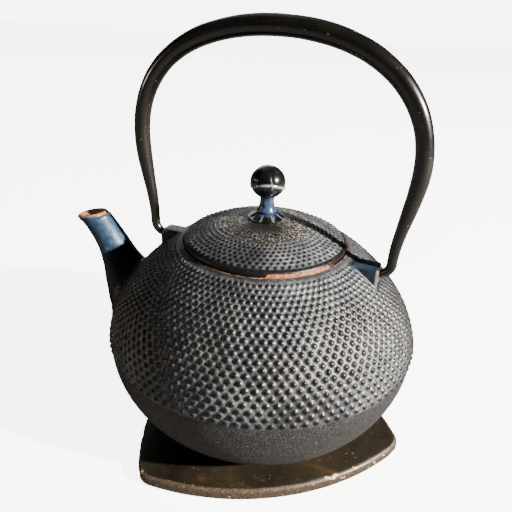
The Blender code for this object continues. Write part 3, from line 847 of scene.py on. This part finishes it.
def build_lid():
    rim = lid_high.x
    bottom = LEDGE + 0.3 * MM
    seat = float(lid_z(LID_SEAT))
    radius = np.linspace(LID_DOTS_INNER, LID_DOTS_OUTER, 3000)
    profile = even(np.stack([radius, lid_z(radius)], 1), LID_ROW_PITCH / STEPS_PER_ROW)[::-1]
    rows = np.arange(3, len(profile) - 2, STEPS_PER_ROW)
    row_radius = profile[rows, 0]
    heights = np.interp(row_radius, [19 * MM, 24 * MM, 30 * MM], [0.0, 0.38 * MM, 0.60 * MM])
    sizes = np.minimum(LID_DOT_SIZE, 0.38 * 2.0 * math.pi * row_radius / LID_DOTS)
    base, out, lift = dot_field(profile, LID_DOTS, rows, heights, sizes, 0.0)
    field = (base + out * lift[:, :, None])[::-1]
    plain = LID_DOTS * 2
    rings = [ring(SHANK_HOLE, seat, plain), ring(LID_SEAT, seat, plain)]
    for r in np.linspace(LID_SEAT + 0.8 * MM, LID_DOTS_INNER - 0.8 * MM, 7):
        rings.append(ring(r, float(lid_z(r)), plain))
    rings += list(field)
    edge = float(lid_z(rim))
    under = [(42.1 * MM, float(lid_z(42.1 * MM))), *beside(rim, edge, (-0.5, 0.1), (-0.12, -0.25), (0, -0.7)),
             *beside(rim, bottom, (0, 0.4), (-0.3, 0)), (SKIRT_OUTER, bottom),
             *beside(SKIRT_OUTER, SKIRT_BOTTOM, (0, 0.3), (-0.3, 0)), (SKIRT_INNER, SKIRT_BOTTOM)]
    rings += ring_stack(under, plain)
    for r in np.linspace(SKIRT_INNER, LID_SEAT, 12):
        rings.append(ring(r, float(lid_z(r)) - LID_THICK, plain))
    rings.append(ring(SHANK_HOLE, seat - LID_THICK, plain))
    lid = skin("lid_casting", rings, closed=True)
    at, reach, around = polar(lid)
    proud = at[:, 2] - lid_z(np.clip(reach, 0.0, rim))
    outer = step01(proud, -1.0 * MM, -0.5 * MM)
    dotted = outer * step01(reach, 20.0 * MM, 26.0 * MM) * (1.0 - step01(reach, 40.9 * MM, 41.3 * MM))
    side = step01(reach, rim - 0.45 * MM, rim - 0.2 * MM)
    facing = np.degrees(around)
    # Painted light: the dust in the lid's hollows is laid on lighter towards the lit left and right, less
    # along the middle.
    side_light = 0.75 + 1.1 * step01(np.abs(at[:, 0]), 5.0 * MM, 32.0 * MM)
    # A darker sector in front of the knob, fading out towards the dotted ring.
    front_darkening = np.minimum(0.96, 1.4 * swell(facing, DARK_SECTOR_FACING, DARK_SECTOR_HALF)) * outer
    front_darkening *= 1.0 - step01(reach, 15.0 * MM, 30.0 * MM)
    edge_dark = 0.5 * step01(reach, 41.7 * MM, 42.3 * MM) * (1.0 - side) * outer
    # Painted light: the orange rusting strip on the lid's side wall is laid on four times stronger over its
    # lit front-right stretch.
    lit_side = step01(facing, -76.0, -65.0) * (1.0 - step01(facing, -32.0, -16.0))
    low_side = 1.0 - step01(at[:, 2], edge - 0.8 * MM, edge - 0.45 * MM)
    paint(lid, hollow=side_light * dotted * (1.0 - step01(proud, 0.1 * MM, 0.4 * MM)),
          sandy=outer * (1.0 - step01(reach, 21.0 * MM, 29.0 * MM)), dark=np.maximum(edge_dark, front_darkening),
          glaze=1.0 - np.maximum(outer, side), rust=side * low_side * (0.25 + 0.75 * lit_side))
    return dress(lid, LID_IRON, "lid", "lid_iron", "lid")


# ---- The knob, its rosette and its washer ----
BALL_MIDDLE = BASE + 138.3 * MM
BALL_RADIUS = 9.0 * MM
BALL_RISE = 8.5 * MM
BALL_LOBES = 6
RIDGE_LEVEL = -0.12  # the ridge round the ball, as a share of its half height
RIDGE_WAVE = 0.18  # it stands higher at the front and the back
FRONT = math.radians(-70.0)
FIRST_SEAM = math.radians(-56.0)
NECK = 3.7 * MM
SHANK = 2.3 * MM
ROSETTE = 9.8 * MM
ROSETTE_RISE = 3.4 * MM
PETALS = 8
GAP = 0.3 * MM


def build_knob():
    count = 120
    angle = angles(count)
    lobe = np.abs(np.cos((angle - FIRST_SEAM) * BALL_LOBES / 2.0))
    crease = np.exp(-(1.0 - lobe) / 0.02)
    ridge_level = RIDGE_LEVEL + RIDGE_WAVE * np.cos(2.0 * (angle - FRONT))
    seat = float(lid_z(LID_SEAT))
    neck_bottom = seat + GAP + ROSETTE_RISE + GAP
    last = math.pi - math.asin(NECK / BALL_RADIUS)
    rings = [pole(BALL_MIDDLE + BALL_RISE)]
    for turn in np.linspace(0.0, last, 64)[1:]:
        level = math.cos(turn)
        off = level - ridge_level
        ridge = np.exp(-(off / 0.055) ** 2)
        upper = step01(off, 0.0, 0.12)
        fade = min(1.0, math.sin(turn) * 1.6)
        groove = -0.28 * MM * crease * fade * upper
        rib = 0.30 * MM * crease * fade * (1.0 - upper) * np.exp(-(off / 0.25) ** 2)
        star = 0.45 * MM * ridge * crease
        waist = -0.22 * MM * np.exp(-((off + 0.13) / 0.07) ** 2)
        radius = BALL_RADIUS * math.sin(turn) + groove + rib + star + 0.34 * MM * ridge + waist
        rings.append(shaped_ring(radius, BALL_MIDDLE + BALL_RISE * level, angle))
    head_top = seat - LID_THICK - 1.0 * MM - 2.0 * GAP
    pinch = BALL_MIDDLE + BALL_RISE * math.cos(last)
    rings += ring_stack([
        *beside(NECK, pinch, (-0.02, -0.5), (-0.08, -1.6), (-0.05, -2.6)),
        *beside(NECK, neck_bottom, (0.15, 3.6), (0.50, 2.2)),
        *beside(0.0, neck_bottom, (4.75, 1.1), (5.30, 0.35), (5.2, 0)),
        (SHANK, neck_bottom), (SHANK, head_top),
        *beside(0.0, head_top, (3.6, 0), (3.9, -0.3), (3.7, -0.8), (2.9, -1.25), (1.5, -1.4))], count)
    rings.append(pole(head_top - 1.4 * MM))
    knob = skin("bud_knob", rings)
    at, reach, around = polar(knob)
    level = (at[:, 2] - BALL_MIDDLE) / BALL_RISE
    seam = np.exp(-(1.0 - np.abs(np.cos((around - FIRST_SEAM) * BALL_LOBES / 2.0))) / 0.006)
    off = level - RIDGE_LEVEL - RIDGE_WAVE * np.cos(2.0 * (around - FRONT))
    # Painted highlights: the ridge round the ball and the seams near it get a pale bluish colour; the neck is
    # painted sky-lit bluish.
    ridge_highlight = np.exp(-(off / 0.065) ** 2)
    below = np.exp(-(off / 0.16) ** 2) * seam
    paint(knob, worn=0.8 * np.clip(np.maximum(ridge_highlight, below), 0.0, 1.0) * (reach > 5.0 * MM),
          cool=(1.0 - step01(level, -1.0, -0.86)) * (at[:, 2] > neck_bottom - 0.1 * MM))
    return dress(knob, KNOB_LACQUER, "knob", "knob_iron", "knob", sharp=60.0)


def build_rosette():
    count = 192
    angle = angles(count)
    wave = np.abs(np.sin(angle * PETALS / 2.0))
    rib = np.exp(-(wave / 0.16) ** 2)
    bottom = float(lid_z(LID_SEAT)) + GAP
    rings = [ring(SHANK_HOLE, bottom + ROSETTE_RISE, count)]
    for share in np.linspace(0.0, 1.0, 22):
        radius = 4.4 * MM + (ROSETTE - 4.4 * MM) * share
        outline = radius * (1.0 - 0.085 * share * (1.0 - wave ** 0.6))
        fall = ROSETTE_RISE * (1.0 - share) ** 1.7
        belly = 0.42 * MM * math.sin(math.pi * min(1.0, share * 1.05)) * wave
        high = bottom + 0.45 * MM + (fall - 0.45 * MM * (1.0 - share)) + belly
        high = high + 0.30 * MM * rib * math.sin(math.pi * share)
        rings.append(shaped_ring(outline, np.minimum(high, bottom + ROSETTE_RISE), angle))
    edge = ROSETTE * (1.0 - 0.085 * (1.0 - wave ** 0.6))
    for inset, high in ((0.0, 0.2), (0.2, 0.0)):
        rings.append(shaped_ring(edge - inset * MM, bottom + high * MM, angle))
    rings.append(ring(SHANK_HOLE, bottom, count))
    rosette = skin("petal_rosette", rings, closed=True)
    _, reach, around = polar(rosette)
    # Painted highlights on the petal ribs, and a painted sky reflection on the rosette's middle.
    rib_highlights = np.exp(-(np.abs(np.sin(around * PETALS / 2.0)) / 0.2) ** 2)
    paint(rosette, worn=0.34 * rib_highlights * step01(reach, 5.0 * MM, 6.0 * MM),
          cool=0.6 * (1.0 - step01(reach, 4.8 * MM, 7.0 * MM)))
    return dress(rosette, KNOB_LACQUER, "lid", "knob_iron", "knob_rosette", sharp=60.0)


def build_washer():
    top = float(lid_z(LID_SEAT)) - LID_THICK - GAP
    low = top - 1.0 * MM
    profile = [(SHANK_HOLE, top), *beside(0.0, top, (6.2, 0), (6.42, -0.08), (6.5, -0.3)),
               *beside(0.0, low, (6.5, 0.3), (6.42, 0.08), (6.2, 0)), (SHANK_HOLE, low)]
    washer = lathe("plain_washer", profile, 64, True)
    return dress(washer, STEEL, "lid", "infuser_steel", "knob_washer")


# ---- The handle ----
PEG_HOLE_END = 55.2 * MM
PEG_HOLE_RADIUS = 2.7 * MM
HANDLE_SPANS = (  # Bezier points (x, z) from the hinge, radius at both ends, in millimetres
    ((56.0, 0.0), (57.5, 0.0), (59.5, 0.0), (61.9, 0.0), 2.2, 2.2, 5),
    ((61.9, 0.0), (64.3, 0.0), (66.8, 3.0), (66.8, 6.0), 2.2, 2.55, 14),
    ((66.8, 6.0), (66.8, 23.0), (72.9, 38.5), (72.9, 55.5), 2.55, 4.2, 40),
    ((72.9, 55.5), (72.9, 89.5), (45.0, 111.8), (0.0, 111.8), 4.2, 4.9, 60),
)
HANDLE_LEAN = 0.7 * MM  # the arch stands this much to the right of its feet


def bezier(p0, p1, p2, p3, count):
    t = np.linspace(0.0, 1.0, count)[:, None]
    p0, p1, p2, p3 = (np.asarray(p, float) for p in (p0, p1, p2, p3))
    return (1 - t) ** 3 * p0 + 3 * (1 - t) ** 2 * t * p1 + 3 * (1 - t) * t * t * p2 + t ** 3 * p3


def build_handle():
    """The forged bar: peg, foot bend, leg and half the arch, then mirrored."""
    path = []
    radii = []
    for p0, p1, p2, p3, r0, r1, count in HANDLE_SPANS:
        share = ease(np.linspace(0.0, 1.0, count))
        skip = 1 if path else 0
        path += [tuple(p) for p in bezier(p0, p1, p2, p3, count)[skip:]]
        radii += list(r0 + (r1 - r0) * share[skip:])
    half = np.array([(x, 0.0, z) for x, z in path]) * MM
    line = np.concatenate([half, half[-2::-1] * np.array([-1.0, 1.0, 1.0])])
    thick = np.array(radii + radii[-2::-1]) * MM
    line[:, 0] += HANDLE_LEAN * step01(line[:, 2], 10.0 * MM, 60.0 * MM)
    line[:, 2] += HINGE
    rings = tube_rings(line, thick, 36)
    for points, middle, radius in zip(rings, line, thick):
        forged = step01(np.array(radius), 2.25 * MM, 3.0 * MM)
        for point in points:
            wave = noise.noise(Vector(point) * 70.0) * 0.16 + noise.noise(Vector(point) * 260.0) * 0.05
            point += (point - middle) / radius * wave * MM * forged
    handle = capped("handle_bar", rings)
    return dress(handle, HANDLE_LACQUER, "handle", "handle_steel", "handle", sharp=60.0)


# ---- The infuser ----
RIM_OUTER = 41.6 * MM
COLLAR = 37.3 * MM
COLLAR_WALL = 0.8 * MM
BASKET_TOP = 36.2 * MM
BASKET_BOTTOM = 32.4 * MM
BASKET_DEPTH = 45.0 * MM
BASKET_WALL = 0.5 * MM
RIM_BOTTOM = RIM_LEDGE + 0.3 * MM
COLLAR_BOTTOM = RIM_BOTTOM - 5.0 * MM
WALL_TOP = COLLAR_BOTTOM + 1.2 * MM
WALL_BOTTOM = WALL_TOP - BASKET_DEPTH
HOLE = 0.55 * MM
HOLES_AROUND = 72
HOLE_ROWS = 16
FIRST_HOLE_ROW = 4.0 * MM
HOLE_ROW_PITCH = 2.3 * MM
FLOOR_CIRCLES = 10
FLOOR_PITCH = 2.8 * MM


def drill(name, obj, axes, length):
    """Cut round holes: each axis is a point and a direction."""
    count = 8
    corners = []
    faces = []
    for point, forward in axes:
        side = np.cross(forward, [0.0, 0.0, 1.0] if abs(forward[2]) < 0.9 else [1.0, 0.0, 0.0])
        side /= np.linalg.norm(side)
        other = np.cross(forward, side)
        start = len(corners)
        for end in (-0.5, 0.5):
            for k in range(count):
                a = 2.0 * math.pi * k / count
                across = math.cos(a) * side + math.sin(a) * other
                corners.append(point + forward * length * end + HOLE * across)
        for k in range(count):
            n = (k + 1) % count
            faces.append((start + k, start + n, start + count + n, start + count + k))
        faces.append(tuple(start + k for k in reversed(range(count))))
        faces.append(tuple(start + count + k for k in range(count)))
    mesh = bpy.data.meshes.new(name)
    mesh.from_pydata([tuple(c) for c in corners], [], faces)
    outward(mesh)
    combine(obj, new_object(name, mesh), "DIFFERENCE")


def build_infuser():
    inner = COLLAR - COLLAR_WALL
    top = RIM_BOTTOM + 0.8 * MM
    rim = lathe("infuser_flange", [
        *beside(inner, top, (0, -0.3), (0.1, -0.08), (0.35, 0)),
        *beside(RIM_OUTER, top, (-0.4, 0), (-0.1, -0.12), (0, -0.4)),
        *beside(RIM_OUTER, RIM_BOTTOM, (-0.1, 0.12), (-0.4, 0)),
        (COLLAR, RIM_BOTTOM), (COLLAR, COLLAR_BOTTOM), (inner, COLLAR_BOTTOM)], 144, True)
    dress(rim, STEEL, "infuser", "infuser_steel", "infuser_rim")
    wall = lathe("infuser_basket", [
        (BASKET_TOP - BASKET_WALL, WALL_TOP), (BASKET_TOP, WALL_TOP),
        (BASKET_BOTTOM, WALL_BOTTOM), (BASKET_BOTTOM - BASKET_WALL, WALL_BOTTOM)], 144, True)
    axes = []
    for row in range(HOLE_ROWS):
        height = WALL_BOTTOM + FIRST_HOLE_ROW + row * HOLE_ROW_PITCH
        share = (height - WALL_BOTTOM) / BASKET_DEPTH
        radius = BASKET_BOTTOM + (BASKET_TOP - BASKET_BOTTOM) * share - BASKET_WALL / 2.0
        for k in range(HOLES_AROUND):
            a = 2.0 * math.pi * (k + 0.5 * (row % 2)) / HOLES_AROUND
            forward = np.array([math.cos(a), math.sin(a), 0.0])
            axes.append((forward * radius + np.array([0.0, 0.0, height]), forward))
    drill("wall_holes", wall, axes, 2.0 * MM)
    dress(wall, STEEL, "infuser", "infuser_steel", "infuser_wall")
    floor_radius = BASKET_BOTTOM - BASKET_WALL - GAP
    floor_top = WALL_BOTTOM + 1.0 * MM
    floor = lathe("infuser_bottom", [
        (0.0, floor_top), (floor_radius, floor_top), (floor_radius, floor_top - 0.6 * MM),
        (0.0, floor_top - 0.6 * MM)], 144, False)
    axes = []
    for circle in range(1, FLOOR_CIRCLES + 1):
        for k in range(circle * 6):
            a = 2.0 * math.pi * k / (circle * 6)
            point = np.array([math.cos(a), math.sin(a), 0.0]) * circle * FLOOR_PITCH
            axes.append((point + np.array([0.0, 0.0, floor_top - 0.3 * MM]), np.array([0.0, 0.0, 1.0])))
    drill("floor_holes", floor, axes, 2.0 * MM)
    dress(floor, STEEL, "infuser", "infuser_steel", "infuser_floor")


# ---- The trivet ----
TRIVET_CORNER = 72.0 * MM
TRIVET_ROUND = 10.0 * MM
TRIVET_TURN = math.radians(2.0)
TRIVET_MIDDLE = np.array([3.5 * MM, -6.4 * MM])
TRIVET_THICK = 7.0 * MM
TRIVET_EDGE = 2.2 * MM


def arc(centre, radius, facing, count):
    """Points on the sixth of a circle that is centred on a direction."""
    angle = facing + math.pi / 6.0 * (2.0 * np.arange(count) / count - 1.0)
    return centre + np.stack([np.cos(angle), np.sin(angle)], 1) * radius


def trivet_outline(inset):
    """The rounded three-cornered outline, moved inwards."""
    third = 2.0 * math.pi / 3.0
    side_radius = TRIVET_CORNER * math.sqrt(3.0) + TRIVET_ROUND
    parts = []
    for corner in range(3):
        facing = TRIVET_TURN + corner * third
        opposite = facing + third * 2.0
        centre, hub = (np.array([math.cos(a), math.sin(a)]) * TRIVET_CORNER for a in (facing, opposite))
        parts.append(arc(centre, TRIVET_ROUND - inset, facing, 24))
        parts.append(arc(hub, side_radius - inset, opposite + math.pi, 96))
    return np.concatenate(parts) + TRIVET_MIDDLE


def build_trivet():
    quarter = np.linspace(0.0, math.pi / 2.0, 7)
    far, near = TRIVET_EDGE * (1.0 - np.cos(quarter)), TRIVET_EDGE * (1.0 - np.sin(quarter))
    sections = [*zip(near, TRIVET_THICK - far), (0.0, TRIVET_THICK / 2.0), *zip(far, near)]
    edge = trivet_outline(TRIVET_EDGE)
    middle = TRIVET_MIDDLE
    flat = [middle + (edge - middle) * share for share in (0.15, 0.35, 0.55, 0.75, 0.88, 0.95)]
    levels = [(middle[None], TRIVET_THICK)] + [(part, TRIVET_THICK) for part in flat]
    levels += [(trivet_outline(inset), height) for inset, height in sections]
    levels += [(part, 0.0) for part in reversed(flat)] + [(middle[None], 0.0)]
    trivet = skin("trivet_plate", [np.column_stack([part, np.full(len(part), z)]) for part, z in levels])
    bpy.context.view_layer.update()
    at = vertices(trivet)
    radial = at[:, :2] - middle
    length = np.linalg.norm(radial, axis=1)
    border = np.linalg.norm(trivet_outline(0.0) - middle, axis=1)
    outline_angle = np.unwrap(np.arctan2(*(trivet_outline(0.0) - middle).T[::-1]))
    angle = np.arctan2(radial[:, 1], radial[:, 0])
    angle = (angle - outline_angle[0]) % (2.0 * math.pi) + outline_angle[0]
    reach = np.interp(angle, np.append(outline_angle, outline_angle[0] + 2.0 * math.pi),
                      np.append(border, border[0]))
    inward = reach - length
    rim = 1.0 - step01(inward, 0.4 * MM, 2.8 * MM)
    top_edge = rim * step01(at[:, 2], 1.0 * MM, 4.0 * MM)
    paint(trivet, edge=np.clip(top_edge + 0.35 * rim, 0.0, 1.0))
    moved = at.copy()
    for i, point in enumerate(at):
        wear = noise.noise(Vector(point) * 60.0) * 0.25 + noise.noise(Vector(point) * 240.0) * 0.10
        chip = max(0.0, noise.noise(Vector((point[0], point[1], 0.3)) * 95.0) - 0.42) * 2.4
        inwards = -radial[i] / max(length[i], 1e-6)
        moved[i, :2] += inwards * (abs(wear) * 0.6 + chip) * MM * rim[i] * (at[i, 2] > 0.4 * MM)
        if at[i, 2] > TRIVET_THICK - 0.5 * MM:
            moved[i, 2] -= (abs(wear) * 0.35 + chip * 0.3 * rim[i]) * MM
    trivet.data.vertices.foreach_set("co", moved.ravel())
    trivet.data.update()
    return dress(trivet, TRIVET_LACQUER, "trivet", "trivet_iron", "trivet", sharp=70.0)


# ---- Floor, light and camera ----
FLOOR_BOUNCE = (0.12, 0.115, 0.11)
FLOOR_GLOW = 6.0  # lifts the pale paper for the camera, not for the pot
SKY_SEEN = 7.0
SKY_LIGHT = 0.03


def build_stage():
    mesh = bpy.data.meshes.new("floor")
    size = 4.0
    mesh.from_pydata([(-size, -size, 0), (size, -size, 0), (size, size, 0), (-size, size, 0)], [],
                     [(0, 1, 2, 3)])
    floor = new_object("floor", mesh)
    floor.location.z = -0.2 * MM
    s = Shader("floor_paper")
    seen = s.node("LightPath").outputs["Is Camera Ray"]
    s.out.inputs["Emission Color"].default_value = (1.0, 1.0, 1.0, 1.0)
    s.feed(s.out.inputs["Emission Strength"], s.times(seen, FLOOR_GLOW))
    paper = s.ramp(s.noise(3.0), [(0.3, (0.80, 0.80, 0.80)), (0.7, (0.84, 0.84, 0.84))])
    s.finish(s.mix(seen, FLOOR_BOUNCE, paper), 0.95)
    floor.data.materials.append(s.material)


def area_light(name, azimuth, elevation, distance, size, power, color, mirrored):
    """A square soft light aimed at the pot's middle."""
    data = bpy.data.lights.new(name, "AREA")
    data.shape = "SQUARE"
    data.size = size
    data.energy = power
    data.color = color
    lamp = new_object(name, data)
    lamp.visible_glossy = mirrored
    a, e = math.radians(azimuth), math.radians(elevation)
    target = Vector((0.0, 0.0, BELLY))
    way = Vector((math.cos(a) * math.cos(e), math.sin(a) * math.cos(e), math.sin(e)))
    lamp.location = target + distance * way
    lamp.rotation_euler = (target - lamp.location).to_track_quat("-Z", "Y").to_euler()


LIGHTS = (  # name, azimuth and elevation, distance, size, power, color, mirrored
    ("key", -7.0, 26.0, 1.5, 0.05, 145.0, (1.0, 0.93, 0.83), True),
    ("sky", 135.0, 62.0, 1.6, 0.8, 0.7, (0.66, 0.82, 1.0), True),
    ("back_sheen", 118.0, 20.0, 2.0, 1.3, 7.0, (0.95, 0.97, 1.0), True),
    ("front_fill", -120.0, 34.0, 1.8, 0.6, 3.4, (0.62, 0.80, 1.0), False),
    ("warm_bounce", 206.0, 12.0, 1.2, 0.12, 1.8, (1.0, 0.78, 0.55), True),
)


def build_light():
    for light in LIGHTS:
        area_light(*light)
    world = bpy.data.worlds.new("studio")
    bpy.context.scene.world = world
    world.use_nodes = True
    tree = world.node_tree
    background = tree.nodes["Background"]
    background.inputs[0].default_value = (0.94, 0.97, 1.0, 1.0)
    level = tree.nodes.new("ShaderNodeMapRange")
    level.inputs["To Min"].default_value = SKY_LIGHT
    level.inputs["To Max"].default_value = SKY_SEEN
    seen = tree.nodes.new("ShaderNodeLightPath").outputs["Is Camera Ray"]
    tree.links.new(seen, level.inputs["Value"])
    tree.links.new(level.outputs["Result"], background.inputs[1])


CAMERA_AZIMUTH = math.radians(20.04)
CAMERA_ELEVATION = math.radians(25.67)
CAMERA_ROLL = math.radians(2.15)
CAMERA_DISTANCE = 285.1 * MM
CAMERA_SHIFT = -4.64 * MM  # of the aim, off the pot's axis
CAMERA_AIM = BASE + 96.22 * MM
CAMERA_LENS = 36.98


def build_camera():
    back = Vector((math.sin(CAMERA_AZIMUTH) * math.cos(CAMERA_ELEVATION),
                   -math.cos(CAMERA_AZIMUTH) * math.cos(CAMERA_ELEVATION), math.sin(CAMERA_ELEVATION)))
    right = Vector((math.cos(CAMERA_AZIMUTH), math.sin(CAMERA_AZIMUTH), 0.0))
    up = back.cross(right)
    turned_right = right * math.cos(CAMERA_ROLL) + up * math.sin(CAMERA_ROLL)
    turned_up = up * math.cos(CAMERA_ROLL) - right * math.sin(CAMERA_ROLL)
    place = Vector((0.0, 0.0, CAMERA_AIM)) + right * CAMERA_SHIFT + back * CAMERA_DISTANCE
    data = bpy.data.cameras.new("camera")
    data.sensor_width = 36.0
    data.lens = CAMERA_LENS
    data.clip_start = 10.0 * MM
    camera = new_object("camera", data)
    turn = Matrix((turned_right, turned_up, back)).transposed().to_4x4()
    camera.matrix_world = Matrix.Translation(place) @ turn
    bpy.context.scene.camera = camera


build_pot()
build_lid()
build_knob()
build_rosette()
build_washer()
build_handle()
build_infuser()
build_trivet()
build_stage()
build_light()
build_camera()
